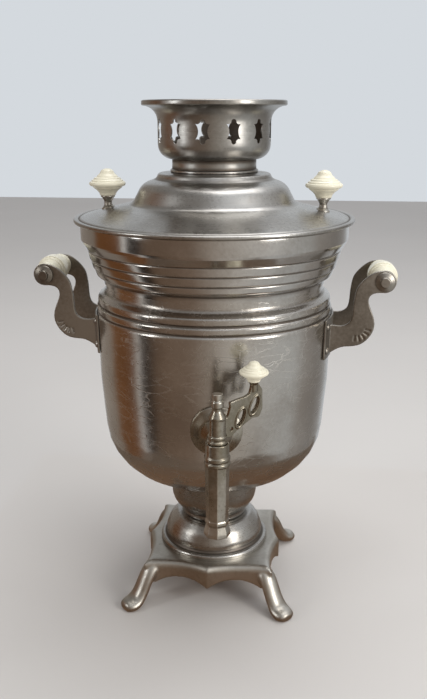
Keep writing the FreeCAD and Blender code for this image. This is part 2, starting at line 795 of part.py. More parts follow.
def tap_plug():
    top = barrel_top + 0.3
    head = plug_head_radius
    profile = [(0, barrel_top - 2.0), (plug_top_radius - plug_taper, barrel_top - 2.0),
               (plug_top_radius - plug_taper, top), (head + 1.25, top),
               (head + 1.25, top + 1.4), (head + 0.3, top + 2.0), (head + 0.3, top + 3.0),
               (head + 0.8, top + 3.6), (head + 0.8, top + 4.8), (head, top + 5.4),
               (head, top + 16.2), (head + 0.4, top + 16.6), (head + 0.4, top + 17.8),
               (3.2, top + 22.0, 2.0), (3.3, top + 23.6), (4.1, top + 24.6, 1.0), (4.1, top + 28.0, 1.2),
               (3.2, top + 29.0), (3.4, top + 30.2), (3.4, finial_top), (0, finial_top),
               (0, barrel_top - 2.0)]
    plug = turned(profile)
    plug.translate(plug_axis)
    cone = plug_cone(0)
    plug = plug.fuse(cone)
    well = Part.makeCylinder(plug_bore, tap_level + plug_bore + 2 - barrel_bottom, plug_axis + UP * barrel_bottom)
    port = rod(shank_bore, V(0, -tap_reach, tap_level), V(0, -tap_reach + 20, tap_level))
    port = spin(port, 90, V(0, -tap_reach, 0))
    return plug.cut(well).cut(port).removeSplitter()


def wing_point(out, up):
    """A point of the wing's face: shares of its reach from the plug and of its rise."""
    return (out * wing_reach, wing_base_level + up * wing_rise)


def tap_branch():
    """Openwork key wing: a scrolled plate with two long leaning loops, and a stem for the knob."""
    corners = [(0.18, 0.0, 0), (0.35, -0.01, 2), (0.52, 0.10, 3), (0.75, 0.20, 3), (0.95, 0.28, 3),
               (1.14, 0.27, 2.5), (1.23, 0.43, 3), (1.22, 0.81, 4), (1.11, 0.94, 1.5), (0.93, 0.94, 1.5),
               (0.87, 0.77, 3), (0.73, 0.73, 3), (0.51, 0.71, 2), (0.32, 0.68, 1), (0.34, 0.59, 2),
               (0.27, 0.41, 3), (0.18, 0.38, 0)]
    plate = slab([wing_point(out, up) + (bend,) for out, up, bend in corners], wing_thickness, -wing_thickness / 2)
    lean = FreeCAD.Rotation(V(0, 1, 0), loop_tilt)
    for out, up in ((0.62, 0.34), (1.0, 0.53)):
        oval = Part.Ellipse(V(0, 0, 0), loop_length / 2, loop_width / 2).toShape()
        hole = Part.Face(Part.Wire([oval])).extrude(UP * 2 * wing_thickness)
        x, z = wing_point(out, up)
        upright = FreeCAD.Rotation(UP, V(1, 0, 0), V(0, 1, 0), "ZXY")
        hole.Placement = FreeCAD.Placement(V(x, -wing_thickness, z), lean.multiply(upright))
        plate = plate.cut(hole)
    eye_x, eye_z = wing_point(0.36, 0.15)
    plate = plate.cut(rod(1.4, V(eye_x, -wing_thickness, eye_z), V(eye_x, wing_thickness, eye_z)))
    tip = V(wing_reach, 0, wing_base_level + wing_rise)
    stem = rod(wing_stem, tip - UP * 2.6 * wing_stem, tip)
    dish = Part.makeCone(wing_stem, 1.5 * wing_stem, 0.8 * wing_stem, tip - UP * 0.8 * wing_stem)
    wing = spin(plate.fuse([stem, dish]).removeSplitter(), wing_turn)
    wing.translate(plug_axis)
    return wing.cut(tap_plug())


def wing_tip():
    """Where the knob sits, at the end of the wing."""
    angle = math.radians(wing_turn)
    return plug_axis + V(wing_reach * math.cos(angle), wing_reach * math.sin(angle), wing_base_level + wing_rise)


def tap_knob():
    knob = turned(knob_profile(0, tap_knob_radius, tap_knob_height))
    knob.translate(wing_tip() + UP * seat_gap)
    return knob


def tap_nut():
    inner = V(0, -belly_radius + sheet + tap_washer_height + 2.6, tap_level)
    nut = hexagon(tap_nut_across, tap_nut_height, inner, V(0, 1, 0))
    return nut.cut(rod(tap_thread_radius + lap_gap, V(0, -1.2 * belly_radius, tap_level), V(0, -0.65 * belly_radius, tap_level)))


def tap_washer():
    start = -belly_radius - 2
    ring = rod(tap_nut_across / 2 + 1.5, V(0, start, tap_level),
               V(0, -belly_radius + sheet + tap_washer_height + 2.5, tap_level))
    ring = ring.cut(rod(tap_thread_radius + lap_gap, V(0, -1.2 * belly_radius, tap_level), V(0, -0.65 * belly_radius, tap_level)))
    return ring.common(vessel_inside())


def vessel_inside():
    """The space inside the vessel, less a small clearance."""
    points = inner_points(vessel_profile(), sheet + seat_gap)
    points = [(max(p[0], 0), p[1], p[2]) for p in points]
    return turned(points + [(0, points[-1][1]), (0, points[0][1])])


# Heater, through the rear wall
def head_face():
    """Distance from the axis to the outer face of the heater's head, just inside the wall."""
    inside = wall_radius(inlet_level - inlet_head_radius) - sheet
    return math.sqrt(inside ** 2 - inlet_head_radius ** 2) - seat_gap - inlet_gasket_height


def tail_end():
    """Distance from the axis to the outer end of the head's threaded tail."""
    return wall_radius(inlet_level) + inlet_tail


def heater():
    """Bent tube: two legs from the head, each dropping to a ring near the floor of the vessel."""
    x = pin_spacing / 2
    start = head_face() - inlet_head_height + element_socket
    low = inlet_level - element_drop
    level = math.sqrt(element_ring_radius ** 2 - x * x)
    bend = element_bend
    arc_mid = bend * math.sin(math.radians(45))
    knee = V(x, level + bend, inlet_level)
    corner = V(x, level, inlet_level - bend)
    middle = V(x, level + bend - arc_mid, inlet_level - bend + arc_mid)
    edges = [Part.makeLine(V(x, start, inlet_level), knee), Part.Arc(knee, middle, corner).toShape(),
             Part.makeLine(corner, V(x, level, low))]
    tube = sweep(edges, element_radius)
    hoop = Part.makeTorus(element_ring_radius, element_radius, V(0, 0, low), UP)
    width = pin_spacing - 2 * lift_gap
    gap = Part.makeBox(width, 30, 30, V(-width / 2, element_ring_radius - 15, low - 15))
    return tube.fuse([mirrored(tube), hoop.cut(gap)]).removeSplitter()


def sweep(edges, radius):
    """A round tube along joined straight and curved edges."""
    path = Part.Wire(edges)
    start = edges[0].Vertexes[0].Point
    way = (edges[0].Vertexes[-1].Point - start).normalize()
    circle = Part.Wire([Part.Circle(start, way, radius).toShape()])
    return path.makePipeShell([circle], True, False)


def rear_disc(radius, low, high, x=0.0):
    """A round disc along the inlet's direction, between two distances from the samovar's axis."""
    return rod(radius, V(x, low, inlet_level), V(x, high, inlet_level))


def heater_flange():
    """Brass head inside the wall, with a threaded tail that comes out through it."""
    face = head_face()
    inner = face - inlet_head_height
    flange = rear_disc(inlet_head_radius, inner, face).fuse(rear_disc(inlet_thread_radius, inner, tail_end()))
    for side in (-1, 1):
        x = side * pin_spacing / 2
        flange = flange.cut(rear_disc(element_radius + lap_gap, inner - 1, inner + element_socket + lap_gap, x))
        flange = flange.cut(rear_disc(pin_neck_radius + lap_gap, inner, tail_end() + 1, x))
    return flange


def heater_gasket():
    """Seal between the head and the wall, inside the vessel, shaped to the wall."""
    ring = rear_disc(inlet_head_radius, head_face() + seat_gap, belly_radius + 5)
    return ring.cut(rear_disc(inlet_thread_radius + lap_gap, 0, belly_radius + 10)).common(vessel_inside())


def inlet_shroud():
    """Round collar outside the wall, screwed on the head's thread, open to the rear."""
    mouth = belly_radius + shroud_length
    floor = tail_end() + seat_gap
    inside = shroud_radius - shroud_wall
    collar = rear_disc(shroud_radius, 0.8 * belly_radius, mouth).fuse(rear_disc(shroud_radius + 1.0, mouth - 2.4, mouth))
    collar = collar.cut(rear_disc(inside, floor, mouth + 1))
    collar = collar.cut(rear_disc(inlet_thread_radius + lap_gap, 0.7 * belly_radius, mouth))
    return collar.cut(wall_cutter(seat_gap)).removeSplitter()


def inlet_insulator():
    """Moulded disc on the end of the head, which holds the two pins."""
    face = tail_end() + seat_gap
    disc = rear_disc(shroud_radius - shroud_wall - lap_gap, face, face + insulator_height)
    for side in (-1, 1):
        disc = disc.cut(rear_disc(pin_neck_radius + lap_gap, face - 1, face + 2 * insulator_height, side * pin_spacing / 2))
    return disc


def inlet_pins():
    """Two round contact pins: each has a thinner neck that runs through the head to an element leg."""
    pins = []
    start = head_face() - inlet_head_height + element_socket
    shoulder = tail_end() + seat_gap + insulator_height + pin_neck
    end = shoulder + pin_length
    for side in (-1, 1):
        x = side * pin_spacing / 2
        blade = rear_disc(pin_radius, shoulder, end, x)
        tip = [e for e in blade.Edges if e.BoundBox.YMin > end - 0.01]
        blade = blade.makeFillet(0.5 * pin_radius, tip)
        pins.append(blade.fuse(rear_disc(pin_neck_radius, start, shoulder + pin_neck, x)))
    return pins


# Stud, bridge and nut that hold the foot together
def tie_stud():
    """Bolt with a wide flat head under the drum's top; its end stands out below the nut."""
    top = drum_top - sheet - seat_gap
    head = Part.makeCylinder(stud_head_radius, stud_head_height, V(0, 0, top - stud_head_height))
    end = plate_top - plate_wall - bridge_thickness - 1.5 * nut_height
    return head.fuse(rod(stud_radius, V(0, 0, end), V(0, 0, top - stud_head_height / 2)))


def tie_bridge():
    """Steel strap under the hollow of the foot, with its ends turned up to the plate's underside."""
    under = plate_top - plate_wall - seat_gap
    length = 2 * (plate_half - plate_wall - 8.0)
    corner = V(-length / 2, -bridge_width / 2, under - bridge_thickness)
    bar = Part.makeBox(length, bridge_width, bridge_thickness, corner)
    return bar.cut(Part.makeCylinder(stud_radius + lap_gap, plate_top))


def tie_nut():
    level = plate_top - plate_wall - seat_gap - bridge_thickness - seat_gap - nut_height
    return hexagon(nut_across, nut_height, V(0, 0, level)).cut(Part.makeCylinder(stud_radius + lap_gap, plate_top))


def build_all():
    """Make every named piece and write it to its own file."""
    parts = {}
    parts["base_casting"] = foot_casting()
    parts["pedestal"] = pedestal()
    parts["neck_drum"] = neck_drum()
    parts["vessel"] = vessel()
    parts["collar_ring"] = collar_ring()
    parts["lid"] = lid()
    parts["lid_skirt"] = lid_skirt()
    parts["crown"] = crown()
    for name, side in (("left", -1), ("right", 1)):
        parts["lid_post_" + name] = lid_post(side)
        parts["lid_knob_" + name] = lid_knob(side)
    parts["lid_nuts"] = Part.makeCompound([lid_nut(-1), lid_nut(1)])
    frame, hand, bar = handle_frame(), grip(), grip_rod()
    parts["right_handle_frame"], parts["left_handle_frame"] = frame, mirrored(frame)
    parts["right_grip"], parts["left_grip"] = hand, mirrored(hand)
    parts["right_grip_rod"], parts["left_grip_rod"] = bar, mirrored(bar)
    rivets = handle_rivets()
    parts["handle_rivets"] = Part.makeCompound(rivets + [mirrored(r) for r in rivets])
    for name, make in (("tap_rosette", tap_rosette), ("tap_barrel", tap_barrel), ("tap_plug", tap_plug),
                       ("tap_branch", tap_branch), ("tap_knob", tap_knob), ("tap_nut", tap_nut),
                       ("tap_washer", tap_washer)):
        parts[name] = spin(make(), tap_swing)
    parts["heating_element"] = heater()
    parts["heater_flange"] = heater_flange()
    parts["heater_gasket"] = heater_gasket()
    parts["inlet_shroud"] = inlet_shroud()
    parts["inlet_insulator"] = inlet_insulator()
    parts["inlet_pins"] = Part.makeCompound(inlet_pins())
    parts["tie_stud"] = tie_stud()
    parts["tie_bridge"] = tie_bridge()
    parts["tie_nut"] = tie_nut()
    return parts


if __name__ == "__main__":
    os.makedirs("parts", exist_ok=True)
    for node, shape in build_all().items():
        shape.exportStep("parts/" + node + ".step")
        box = shape.BoundBox
        print(node, len(shape.Solids), shape.isValid(), round(shape.Volume, 1),
              [round(v, 1) for v in (box.XMin, box.XMax, box.YMin, box.YMax, box.ZMin, box.ZMax)])
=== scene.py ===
# %% [markdown]
# # An electric samovar, dressed
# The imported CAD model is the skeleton: every piece below is drawn around it, in metres, in the same place.
# Turned and spun sheet is drawn again as fine surfaces worked out with numpy, because a long soft
# reflection shows every facet. Cast and pressed pieces get a fine, slightly smoothed skin over their
# solids, and the small hidden pieces keep their solids and only get a finish.

# %% Load the frame
import math

import bmesh
import bpy
import numpy as np
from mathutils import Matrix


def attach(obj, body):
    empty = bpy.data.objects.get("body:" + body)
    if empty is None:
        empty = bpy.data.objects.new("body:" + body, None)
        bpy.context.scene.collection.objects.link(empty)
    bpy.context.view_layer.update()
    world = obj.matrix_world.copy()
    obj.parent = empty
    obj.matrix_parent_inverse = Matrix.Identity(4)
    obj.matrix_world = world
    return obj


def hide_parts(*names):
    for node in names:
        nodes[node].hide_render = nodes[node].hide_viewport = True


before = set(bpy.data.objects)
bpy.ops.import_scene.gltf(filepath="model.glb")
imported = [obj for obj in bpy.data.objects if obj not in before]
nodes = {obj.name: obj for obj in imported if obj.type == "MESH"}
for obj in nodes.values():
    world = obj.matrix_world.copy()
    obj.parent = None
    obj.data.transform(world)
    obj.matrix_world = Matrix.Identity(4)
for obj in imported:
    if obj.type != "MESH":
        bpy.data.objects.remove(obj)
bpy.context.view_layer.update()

# %% [markdown]
# ## Camera
# The camera stands where the photograph's did: a little above the lid, slightly to the right, looking down.
# Its lens comes from the size of the lid's ellipse against the ellipse of the foot ring.

# %% Camera
lens_mm = 40.6
sensor_mm = 36.0
camera_place = (0.063, -0.590, 0.3765)
look_down = 16.74
look_left = 6.15
scene = bpy.context.scene
scene.view_settings.view_transform = "Standard"
camera_data = bpy.data.cameras.new("camera")
camera_data.lens = lens_mm
camera_data.sensor_width = sensor_mm
camera_data.sensor_fit = "AUTO"
camera_data.clip_start = 0.01
camera = bpy.data.objects.new("camera", camera_data)
camera.location = camera_place
camera.rotation_euler = (math.radians(90 - look_down), 0.0, math.radians(look_left))
scene.collection.objects.link(camera)
scene.camera = camera

# %% [markdown]
# ## Floor
# A plain pale floor carries the samovar and takes its shadow. Polished metal that looks down would mirror
# all of it, so the pale floor is hidden from reflections, and a small warm sheet, seen by reflections
# alone, lies in its place. One large floor would do for a matt object, but on metal it washes out the bowl.

# %% Floor
floor_half = 3.0
warm_half = 0.22

def flat_sheet(name, half):
    """A square plane at floor level, of a half width."""
    mesh = bpy.data.meshes.new(name)
    corners = [(-half, -half, 0), (half, -half, 0), (half, half, 0), (-half, half, 0)]
    mesh.from_pydata(corners, [], [(0, 1, 2, 3)])
    sheet = bpy.data.objects.new(name, mesh)
    scene.collection.objects.link(sheet)
    return sheet

floor = flat_sheet("floor", floor_half)
floor.visible_glossy = False
warm_floor = flat_sheet("warm_floor", warm_half)
warm_floor.visible_camera = False
warm_floor.visible_diffuse = False
warm_floor.visible_shadow = False

# %% [markdown]
# ## Writing shaders as sums
# A material is a small formula. This class wraps a shader socket, so that numbers and sockets can be added
# and multiplied, and each sign lays down one Math node.

# %% Shader helper
class Wire:
    """A shader socket with arithmetic on it."""

    def __init__(self, tree, socket):
        self.tree = tree
        self.socket = socket

    def node(self, kind, settings=None, **inputs):
        """Add a node of a kind: its settings first, then its sockets' values or links. i0, i1 and so on name
        sockets by number."""
        made = self.tree.nodes.new(kind)
        for key, value in (settings or {}).items():
            if key == "ramp":
                stops = made.color_ramp.elements
                while len(stops) < len(value):
                    stops.new(0.5)
                for stop, (place, colour) in zip(stops, value):
                    stop.position = place
                    stop.color = colour
            else:
                setattr(made, key, value)
        for key, value in inputs.items():
            numbered = key[0] == "i" and key[1:].isdigit()
            slot = made.inputs[int(key[1:]) if numbered else key.replace("_", " ")]
            if isinstance(value, Wire):
                self.tree.links.new(value.socket, slot)
            else:
                slot.default_value = value
        return made

    def out(self, made, name=0):
        """An output of a node, by name or number."""
        return Wire(self.tree, made.outputs[name])

    def math(self, operation, *values):
        """One Math node on some sockets or numbers."""
        keyed = {"i%d" % i: v for i, v in enumerate(values)}
        return self.out(self.node("ShaderNodeMath", {"operation": operation}, **keyed))

    def __add__(self, other):
        return self.math("ADD", self, other)

    def __radd__(self, other):
        return self.math("ADD", other, self)

    def __sub__(self, other):
        return self.math("SUBTRACT", self, other)

    def __rsub__(self, other):
        return self.math("SUBTRACT", other, self)

    def __mul__(self, other):
        return self.math("MULTIPLY", self, other)

    def __rmul__(self, other):
        return self.math("MULTIPLY", other, self)

    def __truediv__(self, other):
        return self.math("DIVIDE", self, other)

    def __pow__(self, other):
        return self.math("POWER", self, other)

    def clamp(self, low=0.0, high=1.0):
        """The value, held between two limits."""
        return self.math("MINIMUM", self.math("MAXIMUM", self, low), high)

    def step(self, low, high):
        """0 below low, 1 above high, and a smooth rise between them."""
        made = self.node("ShaderNodeMapRange", {"interpolation_type": "SMOOTHSTEP"}, Value=self, From_Min=low,
                         From_Max=high)
        return self.out(made)

    def mix(self, first, second):
        """A colour that goes from the first to the second as this number goes from 0 to 1."""
        made = self.node("ShaderNodeMix", {"data_type": "RGBA"}, i0=self, i6=first, i7=second)
        return self.out(made, 2)

def rgb(red, green, blue):
    """A display colour of 0 to 255 as the linear colour that shaders use."""
    def linear(value):
        value = value / 255
        return value / 12.92 if value <= 0.04045 else ((value + 0.055) / 1.055) ** 2.4
    return (linear(red), linear(green), linear(blue), 1.0)

def new_material(name, **fixed):
    """A material with fixed values on its Principled sockets, its shader, and a Wire to start formulas
    from."""
    material = bpy.data.materials.new(name)
    material.use_nodes = True
    tree = material.node_tree
    shader = tree.nodes["Principled BSDF"]
    for key, value in fixed.items():
        shader.inputs[key.replace("_", " ")].default_value = value
    return material, shader, Wire(tree, None)

def feed(shader, name, wire):
    """Link a formula to a socket of the shader."""
    wire.tree.links.new(wire.socket, shader.inputs[name])

def place(wire, size=(1.0, 1.0, 1.0)):
    """Object coordinates in metres, multiplied by a size along each axis."""
    coords = wire.out(wire.node("ShaderNodeTexCoord"), "Object")
    mapping = wire.node("ShaderNodeMapping", Vector=coords, Scale=size)
    return wire.out(mapping)

def noise(wire, at, scale, detail=2.0, rough=0.5, twist=0.0):
    """Soft noise of 0 to 1 at a place. Scale is lumps a metre, detail finer layers, and twist a stirring."""
    made = wire.node("ShaderNodeTexNoise", Vector=at, Scale=scale, Detail=detail, Roughness=rough,
                     Distortion=twist)
    return wire.out(made)

def bump(wire, height, depth, distance, under=None):
    """A normal from a height: depth is its strength and distance the metres that a height of 1 stands for."""
    more = {"Normal": under} if under is not None else {}
    made = wire.node("ShaderNodeBump", Height=height, Strength=depth, Distance=distance, **more)
    return wire.out(made)

# %% [markdown]
# ## Floor finishes
# The floor is matt, with a faint cloud so that it isn't a flat colour. The warm sheet pales from its middle
# to its edge, so that its outline hardly shows as a line on the bowl.

# %% Floor finishes
floor_rough = 0.6
cloud_depth = 0.93
cloud_scale = 3.0
warm_middle = 0.09
pale, shader, w = new_material("pale_floor", Roughness=floor_rough)
floor_tone = rgb(214, 211, 208)
darker = tuple(cloud_depth * c for c in floor_tone[:3]) + (1.0,)
feed(shader, "Base Color", noise(w, place(w), cloud_scale).mix(darker, floor_tone))
floor.data.materials.append(pale)
warm, shader, w = new_material("warm_floor", Roughness=floor_rough)
reach = w.out(w.node("ShaderNodeVectorMath", {"operation": "LENGTH"}, i0=place(w)), "Value")
feed(shader, "Base Color", reach.step(warm_middle, warm_half).mix(rgb(214, 178, 148), rgb(204, 188, 172)))
warm_floor.data.materials.append(warm)
print("floor tone", floor_tone[:3], "half width of the warm sheet", warm_half)

# %% [markdown]
# ## Room
# Metal shows its surroundings, so the room matters more than any lamp. The world is a ring of soft upright
# bands, placed by their compass angle: 0 is the front and 90 the right. It is dark ahead, with a thin
# bright slit and a brown panel on the left, a broad pale side on the right, and pale behind. Overhead it
# goes from grey on the left to pale on the right. An image of a room would do the same, but bands can be
# placed one by one.

# %% World
world = bpy.data.worlds.new("room")
scene.world = world
world.use_nodes = True
tree = world.node_tree
w = Wire(tree, None)
way = w.out(w.node("ShaderNodeTexCoord"), "Generated")
parts = w.node("ShaderNodeSeparateXYZ", Vector=way)
across = w.out(parts, "X")
ahead = w.out(parts, "Y")
height = w.out(parts, "Z")
turn = w.math("ARCTAN2", across, 0.0 - ahead) / (2 * math.pi) + 0.5
room_stops = [(-180, (212, 217, 222)), (-157, (212, 217, 222)), (-150, (158, 150, 142)),
              (-114, (150, 140, 130)), (-108, (126, 86, 54)), (-79, (122, 82, 52)),
              (-77, (150, 140, 130)), (-75, (255, 255, 255)), (-72, (255, 255, 255)),
              (-70, (44, 36, 30)), (-60, (50, 42, 36)), (-52, (120, 100, 84)),
              (-14, (130, 112, 98)), (6, (172, 162, 152)), (28, (208, 204, 198)),
              (60, (196, 196, 194)), (92, (196, 198, 198)), (104, (170, 166, 162)),
              (128, (150, 147, 144)), (146, (166, 165, 164)), (160, (212, 217, 222)),
              (180, (212, 217, 222))]
band = w.node("ShaderNodeValToRGB", {"ramp": [(a / 360 + 0.5, rgb(*c)) for a, c in room_stops]}, Fac=turn)
walls = w.out(band, "Color")
top = height.step(0.30, 0.80)
ceiling = across.step(-0.6, 0.5).mix(rgb(136, 134, 132), rgb(228, 231, 236))
colour = top.mix(walls, ceiling)
tree.links.new(colour.socket, tree.nodes["Background"].inputs["Color"])
tree.nodes["Background"].inputs["Strength"].default_value = 1.0
print("room bands", len(room_stops))

# %% [markdown]
# ## Lamps
# Three soft rectangles: a large one on the right, a narrow one on the left and one overhead. They give the
# rims their thin lights and the floor its shadow.

# %% Lamps
lamp_aim = (0, 0, 0.2)

def lamp(name, place_at, size, power, tint):
    """A rectangular soft lamp that faces the middle of the samovar."""
    data = bpy.data.lights.new(name, "AREA")
    data.shape = "RECTANGLE"
    data.size = size[0]
    data.size_y = size[1]
    data.energy = power
    data.color = tint
    made = bpy.data.objects.new(name, data)
    made.location = place_at
    toward = np.array(lamp_aim) - np.array(place_at)
    flat = math.hypot(toward[0], toward[1])
    made.rotation_euler = (math.atan2(flat, -toward[2]), 0.0, math.atan2(toward[1], toward[0]) - math.pi / 2)
    scene.collection.objects.link(made)

lamp("window_right", (1.25, -0.9, 0.75), (0.5, 1.0), 11.0, (1.0, 0.98, 0.95))
lamp("window_left", (-1.2, -0.75, 0.7), (0.16, 0.9), 4.0, (0.95, 0.98, 1.0))
lamp("ceiling", (0.2, 0.2, 1.6), (1.2, 1.2), 12.0, (1.0, 1.0, 1.0))

# %% [markdown]
# ## Finishes
# The samovar is nickel-plated brass. Spun pieces keep fine rings from the lathe. The vessel's old plate
# also has a net of fine cracks, which show as thin pale lines with hardly any relief. Every metal darkens
# towards dark brown where a piece's crease value is high: this is painted shade in the creases and hollows.

# %% Metals
def crack_net(wire, scale, size, wander):
    """Distance to the nearest edge of Voronoi cells, stretched along the axes and bent by a slow noise."""
    bend = wire.node("ShaderNodeTexNoise", Vector=place(wire), Scale=55.0, Detail=3.0)
    moved = wire.node("ShaderNodeVectorMath", {"operation": "MULTIPLY_ADD"}, i0=wire.out(bend, "Color"),
                      i1=(wander, wander, wander), i2=place(wire, size))
    cells = wire.node("ShaderNodeTexVoronoi", {"feature": "DISTANCE_TO_EDGE"}, Vector=wire.out(moved),
                      Scale=scale)
    return wire.out(cells, "Distance")

def crease_depth(wire):
    """How deep in a crease a point lies, 0 to 1, as its piece's own attribute says. It is 0 on a CAD node."""
    return wire.out(wire.node("ShaderNodeAttribute", {"attribute_name": "crease"}), "Fac")

def metal(name, light, dark, gloss, rings=0.0, cracks=0.0, grime=0.3, crease_shade=0.8):
    """Worn plated metal: two near tones in slow clouds, lathe rings about Z, cracks as fine lines, grime in
    specks, and painted shade in the creases."""
    made, shader, w = new_material(name, Metallic=1.0)
    at = place(w)
    cloud = noise(w, at, 16.0, 3.0, 0.5)
    fine = noise(w, at, 420.0, 3.0, 0.6)
    colour = (cloud * 0.8 + fine * 0.2).step(0.38, 0.64).mix(dark, light)
    rough = cloud * 0.08 + fine * 0.06 + (gloss - 0.07)
    normal = bump(w, fine, 0.08, 0.0001)
    if rings:
        parts = w.node("ShaderNodeSeparateXYZ", Vector=at)
        x, y = w.out(parts, "X"), w.out(parts, "Y")
        across = (x * x + y * y) ** 0.5
        level = w.out(w.node("ShaderNodeCombineXYZ", X=across * 1500.0, Y=w.out(parts, "Z") * 1500.0, Z=0.0))
        lines = noise(w, level, 1.0, 3.0, 0.6)
        rough = rough + (lines - 0.5) * (0.22 * rings)
        colour = ((lines - 0.5) * (1.2 * rings)).clamp(0.0, 0.5).mix(colour, dark)
        normal = bump(w, lines, 0.10 * rings, 0.0001, normal)
    if cracks:
        lying = crack_net(w, 44.0, (1.0, 1.0, 3.8), 0.034)
        net = crack_net(w, 74.0, (1.0, 1.0, 2.0), 0.022)
        where = noise(w, at, 11.0, 2.0, 0.5)
        first = (1.0 - lying.step(0.0, 0.050)) * where.step(0.40, 0.56)
        second = (1.0 - net.step(0.0, 0.040)) * (1.0 - where.step(0.36, 0.52))
        line = (first + second * 0.8).clamp() * noise(w, at, 90.0, 2.0, 0.5).step(0.30, 0.60)
        colour = (line * (0.18 * cracks)).mix(colour, rgb(232, 228, 220))
        rough = rough + line * 0.14
        normal = bump(w, line, 0.22 * cracks, 0.0002, normal)
    stain = noise(w, at, 38.0, 6.0, 0.7, 0.6).step(0.52, 0.72)
    colour = (stain * (0.5 * grime)).mix(colour, rgb(120, 108, 94))
    rough = rough + stain * (0.25 * grime)
    crease = crease_depth(w)
    # Painted shade: a high crease value darkens the metal towards dark brown. The noise specks in the same mix
    # are real dirt.
    dirt_and_shade = (noise(w, at, 120.0, 5.0, 0.65).step(0.62, 0.80) * grime + crease.step(0.10, 0.90) * crease_shade).clamp()
    colour = dirt_and_shade.mix(colour, rgb(66, 52, 38))
    rough = rough + dirt_and_shade * 0.22
    feed(shader, "Base Color", colour)
    feed(shader, "Roughness", rough.clamp(0.08, 0.9))
    feed(shader, "Normal", normal)
    return made

metal("nickel_body", rgb(200, 197, 192), rgb(176, 170, 163), 0.22, rings=0.25, cracks=1.0, grime=0.25)
metal("nickel_mirror", rgb(200, 197, 193), rgb(176, 171, 165), 0.17, rings=0.4, grime=0.35, crease_shade=0.6)
metal("nickel_spun", rgb(190, 188, 184), rgb(160, 156, 150), 0.29, rings=1.0, grime=0.3)
metal("nickel_dull", rgb(172, 170, 166), rgb(142, 138, 132), 0.31, rings=1.2, grime=0.35)
metal("nickel_cast", rgb(198, 194, 186), rgb(168, 162, 152), 0.36, grime=0.4)
metal("nickel_tap", rgb(198, 193, 184), rgb(142, 134, 118), 0.28, grime=0.8, crease_shade=1.0)
metal("nickel_dark", rgb(168, 163, 155), rgb(124, 117, 108), 0.36, grime=0.4, crease_shade=1.0)
metal("bare_brass", rgb(214, 180, 112), rgb(170, 132, 72), 0.34)
metal("plain_steel", rgb(170, 172, 174), rgb(130, 130, 130), 0.36)
metal("element_sheath", rgb(140, 132, 120), rgb(90, 80, 70), 0.45)

# %% [markdown]
# ## Plastic and rubber
# The knobs and grips are ivory-coloured plastic: a little light goes into it, and its grooves have
# yellowed. The same recipe, without the light and the stain, makes the seals and the moulded disc at the
# back.

# %% Plastic, rubber and moulding
def moulded(name, base, shade, gloss, glow=0.0, stain=0.0):
    """A moulded finish: fine grain, an old stain in the creases, and a little light inside if it glows."""
    made, shader, w = new_material(name, Subsurface_Weight=glow, Coat_Weight=0.25 if glow else 0.0)
    shader.inputs["Subsurface Radius"].default_value = (0.004, 0.003, 0.002)
    at = place(w)
    cloud = noise(w, at, 60.0, 4.0, 0.6)
    fine = noise(w, at, 600.0, 3.0, 0.6)
    crease = crease_depth(w)
    colour = (cloud * 0.8 + fine * 0.2).step(0.35, 0.65).mix(shade, base)
    colour = (crease.step(0.02, 0.28) * stain).mix(colour, rgb(146, 112, 60))
    feed(shader, "Base Color", colour)
    feed(shader, "Roughness", fine * 0.15 + (gloss - 0.07))
    feed(shader, "Normal", bump(w, fine, 0.15, 0.0001))
    return made

moulded("ivory_plastic", rgb(238, 231, 208), rgb(226, 214, 184), 0.34, 0.1, 0.85)
moulded("seal_rubber", rgb(62, 58, 56), rgb(44, 42, 40), 0.6)
moulded("black_bakelite", rgb(44, 38, 34), rgb(28, 24, 22), 0.3)

# %% [markdown]
# ## Finishes on the solids
# Every solid gets a finish, also where a finer piece stands for it later, so that nothing is ever shown
# bare.

# %% Give every CAD node its finish
finish = {"nickel_body": ["vessel"],
          "nickel_spun": ["collar_ring", "lid", "lid_skirt", "crown", "pedestal", "neck_drum"],
          "nickel_cast": ["base_casting", "lid_post_left", "lid_post_right", "inlet_shroud"],
          "nickel_tap": ["tap_rosette", "tap_barrel", "tap_plug", "tap_branch"],
          "nickel_dark": ["left_handle_frame", "right_handle_frame", "left_grip_rod", "right_grip_rod",
                          "handle_rivets"],
          "ivory_plastic": ["left_grip", "right_grip", "lid_knob_left", "lid_knob_right", "tap_knob"],
          "bare_brass": ["tap_nut", "heater_flange", "inlet_pins", "lid_nuts"],
          "element_sheath": ["heating_element"],
          "plain_steel": ["tie_stud", "tie_bridge", "tie_nut"], "seal_rubber": ["heater_gasket", "tap_washer"],
          "black_bakelite": ["inlet_insulator"]}
for name, wanted in finish.items():
    for node in wanted:
        mesh = nodes[node].data
        mesh.materials.clear()
        mesh.materials.append(bpy.data.materials[name])
missing = set(nodes) - {n for wanted in finish.values() for n in wanted}
print("nodes without a finish", sorted(missing))

# %% [markdown]
# ## How the pieces are made
# A turned or spun piece is one outline carried round an axis. Each outline is a few corners, and each
# corner has its own radius, as on a maker's drawing: a real edge is never quite sharp, and its small round
# catches a thin line of light. A modelled circle with a lathe modifier would do as well, but worked out as
# arrays the outline can also say where its creases are: the metal finishes use that for painted shade, and
# the plastic for its yellowed grooves. Cast and pressed pieces come from the CAD solids: a fine voxel skin
# is drawn over the solid and smoothed a little, which is what polishing does to a casting.

# %% Outlines of corners and arcs
mm = 0.001
arc_steps = 8
arc_room = 0.98
flat_corner = math.radians(89.5)
least_step = 1e-4
long_step = 3.0

